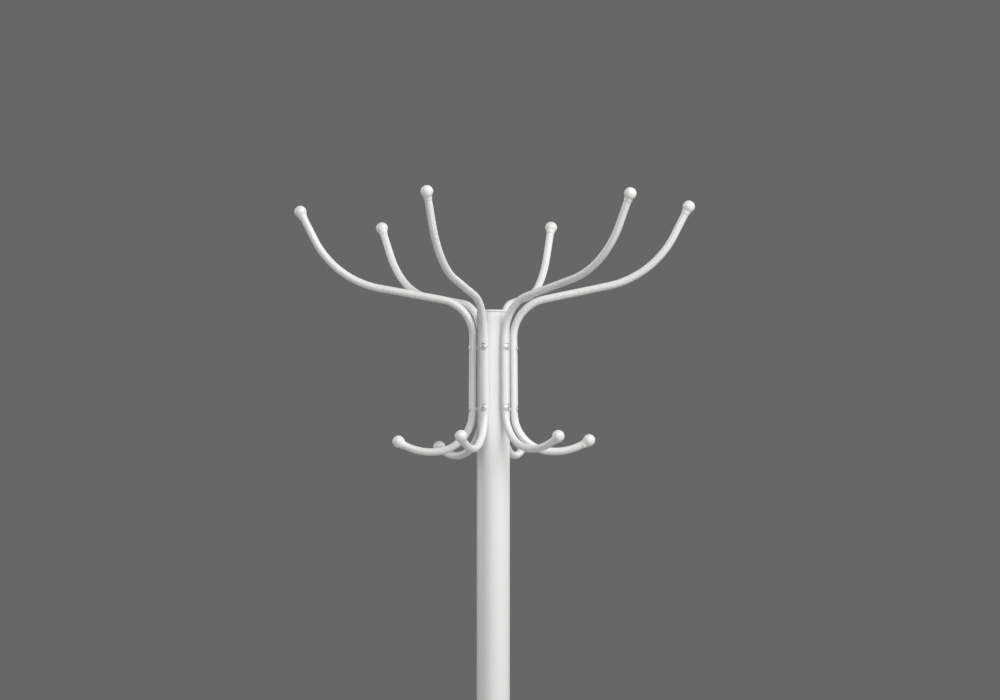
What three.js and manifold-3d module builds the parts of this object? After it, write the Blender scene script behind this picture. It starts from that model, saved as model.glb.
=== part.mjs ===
// Free-standing coat stand: a round steel pole with six S-shaped arms screwed around its top,
// a ball on every arm end, and a round weighted base. Millimetres, +Z up.
// The origin is on the floor, on the pole's axis. -Y is the front.
import * as THREE from "three";
import { mergeVertices } from "three/addons/utils/BufferGeometryUtils.js";
import Module from "manifold-3d";

const wasm = await Module();
wasm.setup();

// ---------- driving dimensions ----------
const GAP = 0.3; // left between pieces that touch

// Pole: one tube cut into three sections for packing.
const POLE_TOP = 1650;
const POLE_RADIUS = 19;
const POLE_WALL = 1.5;
const POLE_SIDES = 20;
const SECTION_COUNT = 3;
const CAP_THICKNESS = 2.2;
const CAP_SKIRT_DEPTH = 14;
const CAP_SKIRT_WALL = 1.8;

// Threaded plugs that are pressed into the tube ends.
const PLUG_LENGTH = 26;
const PLUG_SIDES = 12;
const THREAD_RADIUS = 5; // M10
const THREAD_HOLE_RADIUS = 5.4;
const STUD_REACH = 20;

// Arms: round bar bent in one plane, measured along its centre line.
const BAR_RADIUS = 4.3;
const BAR_SIDES = 8;
const BAR_STEPS = 46;
const ARM_STANDOFF = 0.6; // the bar's nearest point to the pole, so that a slight lean still clears it
const ARM_DATUM_DROP = 78.5; // pole top down to the point midway between an arm's two screws
const UPRIGHT_ABOVE_DATUM = 47.8;
const UPRIGHT_BELOW_DATUM = 39.8;
const UPRIGHT_SPREAD = 0.25; // the upright is pressed this much wider across the arm's plane
const SPREAD_FADE = 24; // length over which the bar turns round again, centred on the upright's ends
const SHOULDER = { radius: 44.5, turn: -79.4 };
const SHOULDER_RUN = 74.6;
const HAT_BEND = { radius: 110.6, turn: 51.9 };
const HAT_RUN = 36.5;
const COAT_BEND = { radius: 44.5, turn: 82.5 };
const COAT_TIP_BEND = { radius: 67.7, turn: 42.4 };

// The arms are 60 degrees apart. Each one is also turned a little on its screws:
// heading is the direction that its plane points in, and lean tips it in that plane.
const FIRST_ARM_AZIMUTH = 5.3;
const ARMS = [
  { name: "right", heading: -6.9, lean: 0.5 },
  { name: "back_right", heading: 73.1, lean: 0.5 },
  { name: "back_left", heading: 125.1, lean: -0.5 },
  { name: "left", heading: 170.4, lean: 0.4 },
  { name: "front_left", heading: 251.8, lean: -0.5 },
  { name: "front_right", heading: 313.8, lean: 0.4 },
];

// Balls: moulded, with a short neck, pushed over the bar ends.
const BALL_RADIUS = 7.1;
const BALL_SIDES = 10;
const BALL_ARC_STEPS = 4;
const NECK_MOUTH_RADIUS = 5.4;
const NECK_ROOT_RADIUS = 5.9;
const NECK_REACH = 9; // ball centre to the neck's mouth
const BAR_END_SETBACK = 3.8; // ball centre to the end of the bar

// Screws through each arm into threaded inserts in the pole's wall.
const SCREW_SPACING = 70;
const SCREW_RADIUS = 2; // M4
const SCREW_HOLE_RADIUS = 2.3;
const SCREW_SIDES = 10;
const HEAD_RADIUS = 4.1;
const HEAD_HEIGHT = 2;
const HEAD_RIM = 0.6;
const SEAT_RADIUS = 4.4;
const SEAT_DEPTH = 1.8; // counterbore in the outer side of the bar
const SCREW_TIP_AT = 9.5; // distance from the pole's axis
const INSERT_RADIUS = 3;
const INSERT_BULGE_RADIUS = 4.2;
const INSERT_SIDES = 8;
const INSERT_INNER_END = 8.2;
const INSERT_BULGE_AT = 16.2;
const INSERT_OUTER_END = 18.6;

// Base: spun cover over a cast weight, closed by a plate that stands in a rubber ring.
const BASE_RADIUS = 190;
const BASE_SIDES = 32;
const RING_HEIGHT = 7;
const RING_WIDTH = 12;
const RING_LIP = 1.1;
const RING_FLOOR = 3;
const COVER_THICKNESS = 1.2;
const COVER_TOP = 36;
const COVER_FLAT_RADIUS = 34;
const COVER_SHOULDER_RADIUS = 12;
const COVER_RIM_TOP = 11.5;
const PLATE_THICKNESS = 1.5;
const ACCESS_HOLE_RADIUS = 15;
const WEIGHT_RADIUS = 168;
const WEIGHT_THICKNESS = 8;
const WEIGHT_HUB_RADIUS = 42;
const WEIGHT_HUB_TOP = 24;
const BOLT_POCKET_RADIUS = 14;
const BOLT_POCKET_TOP = 14;
const BOLT_HEAD_RADIUS = 9.2; // across the corners, M10
const BOLT_HEAD_HEIGHT = 6.4;
const BOLT_TOP = 44;
const WASHER_RADIUS = 10.5;
const WASHER_THICKNESS = 1.8;
const COLLAR_RADIUS = 27;
const COLLAR_HEIGHT = 13;
const COLLAR_EDGE = 4;

// ---------- materials ----------
const whitePaint = new THREE.MeshStandardMaterial({ color: 0xe6e6e4, roughness: 0.38, metalness: 0 });
const whitePlastic = new THREE.MeshStandardMaterial({ color: 0xececea, roughness: 0.3, metalness: 0 });
const nickelPlate = new THREE.MeshStandardMaterial({ color: 0xc4c4c0, roughness: 0.28, metalness: 1 });
const zincPlate = new THREE.MeshStandardMaterial({ color: 0xb4b7ba, roughness: 0.42, metalness: 1 });
const castIron = new THREE.MeshStandardMaterial({ color: 0x3a3b3d, roughness: 0.8, metalness: 0.4 });
const greyRubber = new THREE.MeshStandardMaterial({ color: 0x4a4b4c, roughness: 0.85, metalness: 0 });

// ---------- shape helpers ----------
const radians = THREE.MathUtils.degToRad;

// Closed polygon as a solid of revolution about +Z. Points are [radius, height].
function turned(points, sides) {
  const profile = points.map(([radius, height]) => new THREE.Vector2(radius, height));
  const onAxis = profile[0].x === 0 && profile.at(-1).x === 0;
  if (!onAxis) profile.push(profile[0].clone());
  if (THREE.ShapeUtils.area(profile) < 0) profile.reverse();
  return new THREE.LatheGeometry(profile, sides).rotateX(Math.PI / 2);
}

function ring(innerRadius, outerRadius, bottom, top, sides) {
  return turned(
    [
      [innerRadius, bottom],
      [outerRadius, bottom],
      [outerRadius, top],
      [innerRadius, top],
    ],
    sides,
  );
}

function disc(radius, bottom, top, sides) {
  return new THREE.CylinderGeometry(radius, radius, top - bottom, sides)
    .rotateX(Math.PI / 2)
    .translate(0, 0, (bottom + top) / 2);
}

function toSolid(geometry) {
  const positions = geometry.clone();
  positions.deleteAttribute("normal");
  positions.deleteAttribute("uv");
  const merged = mergeVertices(positions, 1e-4);
  return new wasm.Manifold(
    new wasm.Mesh({
      numProp: 3,
      vertProperties: new Float32Array(merged.attributes.position.array),
      triVerts: new Uint32Array(merged.index.array),
    }),
  );
}

function toGeometry(solid) {
  const { vertProperties, triVerts } = solid.getMesh();
  const geometry = new THREE.BufferGeometry();
  geometry.setAttribute("position", new THREE.BufferAttribute(vertProperties, 3));
  geometry.setIndex(new THREE.BufferAttribute(triVerts, 1));
  return geometry;
}

function cut(geometry, cutters) {
  return toGeometry(cutters.reduce((solid, cutter) => solid.subtract(toSolid(cutter)), toSolid(geometry)));
}

function join(first, second) {
  return toGeometry(toSolid(first).add(toSolid(second)));
}

function mesh(name, geometry, material) {
  const made = new THREE.Mesh(geometry, material.clone());
  made.name = name;
  return made;
}

// ---------- pole ----------
const boreRadius = POLE_RADIUS - POLE_WALL;
const plugRadius = boreRadius - 2 * GAP;
const tubeTop = POLE_TOP - CAP_THICKNESS - GAP;
const tubeBottom = WEIGHT_HUB_TOP + GAP;
const sectionLength = (tubeTop - tubeBottom) / SECTION_COUNT;
const jointHeights = [tubeBottom + sectionLength, tubeBottom + 2 * sectionLength];

// The frame of a screw: its local +Z runs outwards from the pole's axis.
function screwFrame(azimuth, height) {
  return new THREE.Matrix4()
    .makeTranslation(0, 0, height)
    .multiply(new THREE.Matrix4().makeRotationZ(azimuth))
    .multiply(new THREE.Matrix4().makeRotationY(Math.PI / 2));
}

const armDatum = POLE_TOP - ARM_DATUM_DROP;
const screwHeights = { upper: armDatum + SCREW_SPACING / 2, lower: armDatum - SCREW_SPACING / 2 };
const azimuthOf = (index) => radians(FIRST_ARM_AZIMUTH + (360 / ARMS.length) * index);

function topSection() {
  const tube = ring(boreRadius, POLE_RADIUS, jointHeights[1] + GAP / 2, tubeTop, POLE_SIDES);
  const holes = ARMS.flatMap((_, index) =>
    Object.values(screwHeights).map((height) =>
      disc(INSERT_RADIUS + GAP, INSERT_BULGE_AT - 2, POLE_RADIUS + 2, INSERT_SIDES).applyMatrix4(
        screwFrame(azimuthOf(index), height),
      ),
    ),
  );
  return cut(tube, holes);
}

function capGeometry() {
  const skirtBottom = tubeTop - CAP_SKIRT_DEPTH;
  const flangeBottom = POLE_TOP - CAP_THICKNESS;
  return turned(
    [
      [0, POLE_TOP],
      [POLE_RADIUS - 0.5, POLE_TOP],
      [POLE_RADIUS, POLE_TOP - 0.5],
      [POLE_RADIUS, flangeBottom],
      [plugRadius, flangeBottom],
      [plugRadius, skirtBottom],
      [plugRadius - CAP_SKIRT_WALL, skirtBottom],
      [plugRadius - CAP_SKIRT_WALL, flangeBottom],
      [0, flangeBottom],
    ],
    POLE_SIDES,
  );
}

function studGeometry(jointHeight) {
  const face = jointHeight + 2 * GAP;
  return turned(
    [
      [0, jointHeight - STUD_REACH],
      [THREAD_RADIUS, jointHeight - STUD_REACH],
      [THREAD_RADIUS, face],
      [plugRadius, face],
      [plugRadius, face + PLUG_LENGTH],
      [0, face + PLUG_LENGTH],
    ],
    PLUG_SIDES,
  );
}

function socketGeometry(top) {
  return ring(THREAD_HOLE_RADIUS, plugRadius, top - PLUG_LENGTH, top, PLUG_SIDES);
}

function makePole() {
  const group = new THREE.Group();
  const [lowerJoint, upperJoint] = jointHeights;
  const middle = ring(boreRadius, POLE_RADIUS, lowerJoint + GAP / 2, upperJoint - GAP / 2, POLE_SIDES);
  const bottom = ring(boreRadius, POLE_RADIUS, tubeBottom, lowerJoint - GAP / 2, POLE_SIDES);
  group.add(
    mesh("pole_top_section", topSection(), whitePaint),
    mesh("pole_middle_section", middle, whitePaint),
    mesh("pole_bottom_section", bottom, whitePaint),
    mesh("pole_cap", capGeometry(), whitePlastic),
    mesh("upper_joint_stud", studGeometry(upperJoint), zincPlate),
    mesh("upper_joint_socket", socketGeometry(upperJoint - 2 * GAP), zincPlate),
    mesh("lower_joint_stud", studGeometry(lowerJoint), zincPlate),
    mesh("lower_joint_socket", socketGeometry(lowerJoint - 2 * GAP), zincPlate),
    mesh("pole_foot_socket", socketGeometry(tubeBottom + GAP + PLUG_LENGTH), zincPlate),
  );
  return group;
}

// ---------- arms ----------
// Draws runs and bends one after another from a start point and heading, as a bending plan does.
class BendPlan {
  constructor(x, z, headingDegrees) {
    this.path = new THREE.Path();
    this.path.moveTo(x, z);
    this.heading = radians(headingDegrees);
  }

  run(length) {
    const { x, y } = this.path.currentPoint;
    this.path.lineTo(x + length * Math.cos(this.heading), y + length * Math.sin(this.heading));
    return this;
  }

  bend({ radius, turn }) {
    const side = Math.sign(turn);
    const { x, y } = this.path.currentPoint;
    const start = this.heading - (side * Math.PI) / 2;
    const end = start + radians(turn);
    this.path.absarc(x - radius * Math.cos(start), y - radius * Math.sin(start), radius, start, end, side < 0);
    this.heading += radians(turn);
    return this;
  }
}

// The bar's centre line in its own plane, from the coat ball's centre to the hat ball's centre.
// X points outwards from the upright and Z is up, with the origin midway between the screws.
const coatHook = new BendPlan(0, -UPRIGHT_BELOW_DATUM, -90).bend(COAT_BEND).bend(COAT_TIP_BEND);
const hatHook = new BendPlan(0, -UPRIGHT_BELOW_DATUM, 90)
  .run(UPRIGHT_BELOW_DATUM + UPRIGHT_ABOVE_DATUM)
  .bend(SHOULDER)
  .run(SHOULDER_RUN)
  .bend(HAT_BEND)
  .run(HAT_RUN);

class BarLine extends THREE.Curve {
  constructor() {
    super();
    this.coatLength = coatHook.path.getLength();
    this.hatLength = hatHook.path.getLength();
  }

  getPoint(t, target = new THREE.Vector3()) {
    const wholeBar = this.coatLength + this.hatLength - 2 * BAR_END_SETBACK;
    const along = BAR_END_SETBACK + t * wholeBar - this.coatLength;
    const point =
      along < 0
        ? coatHook.path.getPointAt(-along / this.coatLength)
        : hatHook.path.getPointAt(along / this.hatLength);
    return target.set(point.x, 0, point.y);
  }
}

// Widens the upright across the arm's plane, which is local Y.
function spreadUpright(geometry) {
  const { smoothstep } = THREE.MathUtils;
  const points = geometry.getAttribute("position");
  const top = UPRIGHT_ABOVE_DATUM - SPREAD_FADE / 2;
  const bottom = -UPRIGHT_BELOW_DATUM + SPREAD_FADE / 2;
  for (let index = 0; index < points.count; index += 1) {
    const height = points.getZ(index);
    const belowTop = 1 - smoothstep(height, top, top + SPREAD_FADE);
    const aboveBottom = smoothstep(height, bottom - SPREAD_FADE, bottom);
    points.setY(index, points.getY(index) * (1 + UPRIGHT_SPREAD * belowTop * aboveBottom));
  }
  return geometry;
}

function barGeometry() {
  const corners = Array.from({ length: BAR_SIDES }, (_, index) => {
    const angle = ((index + 0.5) * 2 * Math.PI) / BAR_SIDES;
    return new THREE.Vector2(BAR_RADIUS * Math.cos(angle), BAR_RADIUS * Math.sin(angle));
  });
  const bar = new THREE.ExtrudeGeometry(new THREE.Shape(corners), {
    extrudePath: new BarLine(),
    steps: BAR_STEPS,
    bevelEnabled: false,
  });
  return spreadUpright(bar);
}

// Local +Z points out through the tip, and the origin is the ball's centre.
function ballGeometry() {
  const rootHeight = -Math.sqrt(BALL_RADIUS ** 2 - NECK_ROOT_RADIUS ** 2);
  const rootAngle = Math.atan2(rootHeight, NECK_ROOT_RADIUS);
  const boreWall = BAR_RADIUS + 2 * GAP;
  const boreEnd = -BAR_END_SETBACK + GAP;
  const round = Array.from({ length: BALL_ARC_STEPS + 1 }, (_, step) => {
    const angle = THREE.MathUtils.lerp(rootAngle, Math.PI / 2, step / BALL_ARC_STEPS);
    const radius = step === BALL_ARC_STEPS ? 0 : BALL_RADIUS * Math.cos(angle);
    return [radius, BALL_RADIUS * Math.sin(angle)];
  });
  return turned(
    [[0, boreEnd], [boreWall, boreEnd], [boreWall, -NECK_REACH], [NECK_MOUTH_RADIUS, -NECK_REACH], ...round],
    BALL_SIDES,
  );
}

function placeBall(name, centre, before) {
  const ball = mesh(name, ballGeometry(), whitePlastic);
  const axis = new THREE.Vector3(centre.x - before.x, 0, centre.y - before.y).normalize();
  ball.position.set(centre.x, 0, centre.y);
  ball.quaternion.setFromUnitVectors(new THREE.Vector3(0, 0, 1), axis);
  return ball;
}

function makeArm(arm, index) {
  const azimuth = azimuthOf(index);
  const uprightRadius = POLE_RADIUS + ARM_STANDOFF + BAR_RADIUS;
  const group = new THREE.Group();
  group.position.set(uprightRadius * Math.cos(azimuth), uprightRadius * Math.sin(azimuth), armDatum);
  group.rotation.set(0, -radians(arm.lean), radians(arm.heading), "ZYX");
  group.updateMatrix();

  const toArm = group.matrix.clone().invert();
  const seatAt = uprightRadius + BAR_RADIUS - SEAT_DEPTH;
  const drilling = Object.values(screwHeights).flatMap((height) => {
    const frame = toArm.clone().multiply(screwFrame(azimuth, height));
    const hole = disc(SCREW_HOLE_RADIUS, POLE_RADIUS - 2, seatAt + 2, SCREW_SIDES);
    const spotFace = disc(SEAT_RADIUS, seatAt, seatAt + 2 * HEAD_HEIGHT, SCREW_SIDES);
    return [hole.applyMatrix4(frame), spotFace.applyMatrix4(frame)];
  });

  const coatTip = coatHook.path.getPointAt(1);
  const hatTip = hatHook.path.getPointAt(1);
  const beforeTip = 0.97;
  group.add(
    mesh(`arm_${arm.name}`, cut(barGeometry(), drilling), whitePaint),
    placeBall(`hat_ball_${arm.name}`, hatTip, hatHook.path.getPointAt(beforeTip)),
    placeBall(`coat_ball_${arm.name}`, coatTip, coatHook.path.getPointAt(beforeTip)),
  );
  return group;
}

// ---------- screws and inserts ----------
// Both are drawn with local +Z running outwards from the pole's axis.
function screwGeometry() {
  const seatAt = POLE_RADIUS + ARM_STANDOFF + 2 * BAR_RADIUS - SEAT_DEPTH + GAP;
  return turned(
    [
      [0, SCREW_TIP_AT],
      [SCREW_RADIUS, SCREW_TIP_AT],
      [SCREW_RADIUS, seatAt],
      [HEAD_RADIUS, seatAt],
      [HEAD_RADIUS, seatAt + HEAD_RIM],
      [HEAD_RADIUS * 0.75, seatAt + HEAD_HEIGHT * 0.75],
      [0, seatAt + HEAD_HEIGHT],
    ],
    SCREW_SIDES,
  );
}

function insertGeometry() {
  return turned(
    [
      [SCREW_HOLE_RADIUS, INSERT_INNER_END],
      [INSERT_RADIUS, INSERT_INNER_END],
      [INSERT_BULGE_RADIUS, INSERT_BULGE_AT],
      [INSERT_RADIUS, INSERT_BULGE_AT + GAP],
      [INSERT_RADIUS, INSERT_OUTER_END],
      [SCREW_HOLE_RADIUS, INSERT_OUTER_END],
    ],
    INSERT_SIDES,
  );
}

function makeFastenings(arm, index) {
  const group = new THREE.Group();
  for (const [row, height] of Object.entries(screwHeights)) {
    const screw = mesh(`${row}_screw_${arm.name}`, screwGeometry(), nickelPlate);
    const insert = mesh(`${row}_insert_${arm.name}`, insertGeometry(), zincPlate);
    for (const piece of [screw, insert]) {
      piece.applyMatrix4(screwFrame(azimuthOf(index), height));
      group.add(piece);
    }
  }
  return group;
}

// ---------- base ----------
const coverRadius = BASE_RADIUS - RING_LIP - GAP;
const plateBottom = RING_FLOOR + GAP;
const weightBottom = plateBottom + PLATE_THICKNESS + GAP;
const poleClearRadius = POLE_RADIUS + 2 * GAP;

function baseRingGeometry() {
  return turned(
    [
      [BASE_RADIUS - RING_WIDTH, 0],
      [BASE_RADIUS, 0],
      [BASE_RADIUS, RING_HEIGHT],
      [BASE_RADIUS - RING_LIP, RING_HEIGHT],
      [BASE_RADIUS - RING_LIP, RING_FLOOR],
      [BASE_RADIUS - RING_WIDTH, RING_FLOOR],
    ],
    BASE_SIDES,
  );
}

// One skin of the cover, from the pole hole over the dome and the shoulder to the rim.
function coverSkin(inset) {
  const top = COVER_TOP - inset;
  const shoulder = COVER_SHOULDER_RADIUS - inset;
  const shoulderAxis = coverRadius - COVER_SHOULDER_RADIUS;
  const path = new THREE.Path();
  path.moveTo(poleClearRadius, top);
  path.lineTo(COVER_FLAT_RADIUS, top);
  path.quadraticCurveTo(shoulderAxis / 2, top, shoulderAxis, COVER_RIM_TOP + shoulder);
  path.absarc(shoulderAxis, COVER_RIM_TOP, shoulder, Math.PI / 2, 0, true);
  path.lineTo(coverRadius - inset, plateBottom);
  return path.getPoints(3).map((point) => [point.x, point.y]);
}

function coverGeometry() {
  return turned([...coverSkin(0), ...coverSkin(COVER_THICKNESS).reverse()], BASE_SIDES);
}

function weightGeometry() {
  return turned(
    [
      [BOLT_POCKET_RADIUS, weightBottom],
      [WEIGHT_RADIUS, weightBottom],
      [WEIGHT_RADIUS, weightBottom + WEIGHT_THICKNESS],
      [WEIGHT_HUB_RADIUS, weightBottom + WEIGHT_THICKNESS],
      [WEIGHT_HUB_RADIUS, WEIGHT_HUB_TOP],
      [THREAD_HOLE_RADIUS, WEIGHT_HUB_TOP],
      [THREAD_HOLE_RADIUS, BOLT_POCKET_TOP],
      [BOLT_POCKET_RADIUS, BOLT_POCKET_TOP],
    ],
    BASE_SIDES,
  );
}

function collarGeometry() {
  const bottom = COVER_TOP + GAP;
  const top = bottom + COLLAR_HEIGHT;
  return turned(
    [
      [poleClearRadius, bottom],
      [COLLAR_RADIUS, bottom],
      [COLLAR_RADIUS, top - COLLAR_EDGE],
      [COLLAR_RADIUS - COLLAR_EDGE / 3, top - COLLAR_EDGE / 3],
      [COLLAR_RADIUS - COLLAR_EDGE, top],
      [poleClearRadius, top],
    ],
    POLE_SIDES,
  );
}

function makeBase() {
  const group = new THREE.Group();
  const plate = ring(
    ACCESS_HOLE_RADIUS,
    coverRadius - COVER_THICKNESS - 2 * GAP,
    plateBottom,
    plateBottom + PLATE_THICKNESS,
    BASE_SIDES,
  );
  const washerTop = BOLT_POCKET_TOP - GAP;
  const washerBottom = washerTop - WASHER_THICKNESS;
  const headTop = washerBottom - GAP;
  const bolt = join(
    disc(BOLT_HEAD_RADIUS, headTop - BOLT_HEAD_HEIGHT, headTop, 6),
    disc(THREAD_RADIUS, headTop - 1, BOLT_TOP, PLUG_SIDES),
  );
  group.add(
    mesh("base_ring", baseRingGeometry(), greyRubber),
    mesh("base_plate", plate, zincPlate),
    mesh("base_weight", weightGeometry(), castIron),
    mesh("base_cover", coverGeometry(), whitePaint),
    mesh("base_collar", collarGeometry(), whitePlastic),
    mesh("base_washer", ring(THREAD_HOLE_RADIUS, WASHER_RADIUS, washerBottom, washerTop, PLUG_SIDES), zincPlate),
    mesh("base_bolt", bolt, zincPlate),
  );
  return group;
}

// ---------- assembly ----------
const coatStand = new THREE.Group();
coatStand.add(makePole(), ...ARMS.map(makeArm), ...ARMS.map(makeFastenings), makeBase());

export default coatStand;
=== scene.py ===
"""Looks of a free-standing coat stand, built around its packed CAD frame.

Sizes are in metres. +Z is up, the origin is on the floor on the pole's axis, and -Y is the front.
"""

import math

import bmesh
import bpy
from bpy.props import FloatProperty, FloatVectorProperty, IntProperty, PointerProperty
from mathutils import Matrix, Vector


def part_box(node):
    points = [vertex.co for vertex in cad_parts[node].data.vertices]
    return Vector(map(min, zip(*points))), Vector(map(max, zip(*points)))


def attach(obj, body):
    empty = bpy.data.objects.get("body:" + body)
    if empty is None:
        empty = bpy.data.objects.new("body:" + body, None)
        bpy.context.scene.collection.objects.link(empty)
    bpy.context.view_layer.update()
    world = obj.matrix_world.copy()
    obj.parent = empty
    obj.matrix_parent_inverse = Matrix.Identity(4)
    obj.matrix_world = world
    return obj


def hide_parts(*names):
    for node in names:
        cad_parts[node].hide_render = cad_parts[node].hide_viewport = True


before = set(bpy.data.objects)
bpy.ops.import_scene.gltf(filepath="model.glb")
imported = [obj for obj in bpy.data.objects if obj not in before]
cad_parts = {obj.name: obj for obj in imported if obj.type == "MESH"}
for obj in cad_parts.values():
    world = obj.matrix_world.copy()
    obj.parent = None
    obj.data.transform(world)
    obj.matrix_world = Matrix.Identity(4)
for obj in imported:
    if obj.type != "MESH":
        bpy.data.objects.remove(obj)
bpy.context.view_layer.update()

bl_info = {
    "name": "Coat Stand",
    "version": (1, 0, 0),
    "blender": (4, 5, 0),
    "location": "View3D > Sidebar > Coat Stand",
    "description": "Builds the finished surfaces of a coat stand around its frame",
    "category": "Object",
}

MM = 0.001
BODY = "root"
SHARP_ANGLE = math.radians(35)
POLE_SIDES = 96  # mesh sides round the pole, the cap and the collar
BASE_SIDES = 160

# The six arms stand 60 degrees apart. Each is turned a little on its screws: heading is the direction
# that its plane points in, and lean tips it in that plane. Both are in degrees.
ARMS = (
    ("right", -6.9, 0.5),
    ("back_right", 73.1, 0.5),
    ("back_left", 125.1, -0.5),
    ("left", 170.4, 0.4),
    ("front_left", 251.8, -0.5),
    ("front_right", 313.8, 0.4),
)
SCREW_ROWS = ("upper", "lower")
POLE_SECTIONS = ("pole_top_section", "pole_middle_section", "pole_bottom_section")
HIDDEN_ZINC_NODES = (
    "upper_joint_stud",
    "upper_joint_socket",
    "lower_joint_stud",
    "lower_joint_socket",
    "pole_foot_socket",
)
HOLE_GAP = 0.6 * MM  # between the pole and the holes that it passes through
DUST_COLOUR = (0.58, 0.56, 0.52)

# Each light: name, azimuth and elevation in degrees, width and height, and the setting that holds its power.
LIGHT_DISTANCE = 3.2
LIGHTS = (
    ("key_light", 47, 30, (2.4, 2.2), "key_power"),
    ("front_light", 0, 24, (1.8, 1.8), "front_power"),
    ("left_rim_light", -112, 20, (1.4, 2.4), "left_rim_power"),
    ("right_rim_light", 140, 22, (1.4, 2.4), "right_rim_power"),
)
FLOOR_REACH = 60.0


# ---------- places taken from the frame ----------
def node_top(node):
    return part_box(node)[1].z


def node_bottom(node):
    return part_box(node)[0].z


def node_radius(node):
    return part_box(node)[1].x


def node_middle(node):
    """Mean of a CAD node's vertices, which is on its axis when the node is round."""
    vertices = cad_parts[node].data.vertices
    return sum((vertex.co for vertex in vertices), Vector()) / len(vertices)


def screw_frame(row, arm):
    """Matrix at the pole's axis whose +Z runs out along a screw, and the distance to its head's top."""
    node = f"{row}_screw_{arm}"
    middle = node_middle(node)
    azimuth = math.atan2(middle.y, middle.x)
    outwards = Vector((math.cos(azimuth), math.sin(azimuth), 0))
    height = (node_top(node) + node_bottom(node)) / 2
    head_top = max(vertex.co.dot(outwards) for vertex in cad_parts[node].data.vertices)
    matrix = Matrix.Translation((0, 0, height)) @ Matrix.Rotation(azimuth, 4, "Z")
    return matrix @ Matrix.Rotation(math.pi / 2, 4, "Y"), head_top


# ---------- mesh building ----------
def new_object(name, mesh):
    made = bpy.data.objects.new(name, mesh)
    bpy.context.scene.collection.objects.link(made)
    return made


def finish_mesh(mesh):
    """Outward faces, smooth shading, and sharp edges only where the surface really turns."""
    work = bmesh.new()
    work.from_mesh(mesh)
    bmesh.ops.remove_doubles(work, verts=work.verts, dist=1e-7)
    bmesh.ops.recalc_face_normals(work, faces=work.faces)
    work.to_mesh(mesh)
    work.free()
    mesh.shade_smooth()
    mesh.set_sharp_from_angle(angle=SHARP_ANGLE)
    return mesh


def rounded_outline(corners, steps=5):
    """Outline with its corners rounded. Each corner is (radius, height, fillet)."""
    outline = []
    count = len(corners)
    for index, (x, y, fillet) in enumerate(corners):
        here = Vector((x, y))
        before = Vector(corners[(index - 1) % count][:2]) - here
        after = Vector(corners[(index + 1) % count][:2]) - here
        if fillet <= 0:
            outline.append(here)
            continue
        half = before.angle(after) / 2
        reach = fillet / math.tan(half)
        start = here + before.normalized() * reach
        end = here + after.normalized() * reach
        centre = here + (before.normalized() + after.normalized()).normalized() * (fillet / math.sin(half))
        for step in range(steps + 1):
            spoke = (start - centre).lerp(end - centre, step / steps)
            outline.append(centre + spoke.normalized() * fillet)
    return outline


def revolve(name, outline, sides, closed):
    """Turns an outline of (radius, height) points about +Z. An open outline starts and ends on the axis."""
    work = bmesh.new()
    rings = []
    for radius, height in outline:
        if radius < 1e-9:
            rings.append([work.verts.new((0, 0, height))])
            continue
        turns = (2 * math.pi * side / sides for side in range(sides))
        rings.append([work.verts.new((radius * math.cos(t), radius * math.sin(t), height)) for t in turns])
    pairs = list(zip(rings, rings[1:]))
    if closed:
        pairs.append((rings[-1], rings[0]))
    for low, high in pairs:
        for side in range(sides):
            after = (side + 1) % sides
            corners = [low[side % len(low)], low[after % len(low)]]
            corners += [high[after % len(high)], high[side % len(high)]]
            work.faces.new(list(dict.fromkeys(corners)))
    mesh = bpy.data.meshes.new(name)
    work.to_mesh(mesh)
    work.free()
    return finish_mesh(mesh)


def sweep(name, points, across, radius, spreads, sides):
    """A bar along points that lie in one plane, whose normal is across. spreads widen it along across."""
    work = bmesh.new()
    rings = []
    for index, point in enumerate(points):
        along = (points[min(index + 1, len(points) - 1)] - points[max(index - 1, 0)]).normalized()
        upright = along.cross(across)
        ring = []
        for side in range(sides):
            turn = 2 * math.pi * side / sides
            spoke = math.cos(turn) * spreads[index] * across + math.sin(turn) * upright
            ring.append(work.verts.new(point + radius * spoke))
        rings.append(ring)
    for low, high in zip(rings, rings[1:]):
        for side in range(sides):
            after = (side + 1) % sides
            work.faces.new((low[side], low[after], high[after], high[side]))
    work.faces.new(rings[0])
    work.faces.new(rings[-1])
    mesh = bpy.data.meshes.new(name)
    work.to_mesh(mesh)
    work.free()
    return finish_mesh(mesh)


def cut_away(piece, cutters):
    """Cuts the cutters' shapes out of piece, and removes them."""
    for cutter in cutters:
        modifier = piece.modifiers.new("cut", "BOOLEAN")
        modifier.operation = "DIFFERENCE"
        modifier.solver = "EXACT"
        modifier.object = cutter
    bpy.context.view_layer.update()
    graph = bpy.context.evaluated_depsgraph_get()
    cut_mesh = bpy.data.meshes.new_from_object(piece.evaluated_get(graph))
    piece.modifiers.clear()
    piece.data = finish_mesh(cut_mesh)
    for cutter in cutters:
        bpy.data.objects.remove(cutter)


def place(piece, slot, *nodes):
    """Gives a piece its slot's material, puts it on the body and lets it stand for its CAD nodes."""
    set_material(piece, slot)
    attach(piece, BODY)
    if nodes:
        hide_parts(*nodes)
    return piece


def place_turned(name, outline, sides, slot, *nodes, closed=True):
    """Places a new piece that is turned about the pole's axis."""
    return place(new_object(name, revolve(name, outline, sides, closed)), slot, *nodes)


# ---------- shader node groups ----------
def new_group(name, inputs, outputs):
    """An empty shader node group. Inputs are (name, socket type, default), outputs (name, socket type)."""
    group = bpy.data.node_groups.new(name, "ShaderNodeTree")
    for socket_name, kind, default in inputs:
        socket = group.interface.new_socket(name=socket_name, in_out="INPUT", socket_type=kind)
        socket.default_value = default
    for socket_name, kind in outputs:
        group.interface.new_socket(name=socket_name, in_out="OUTPUT", socket_type=kind)
    return group, group.nodes.new("NodeGroupInput"), group.nodes.new("NodeGroupOutput")


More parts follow.
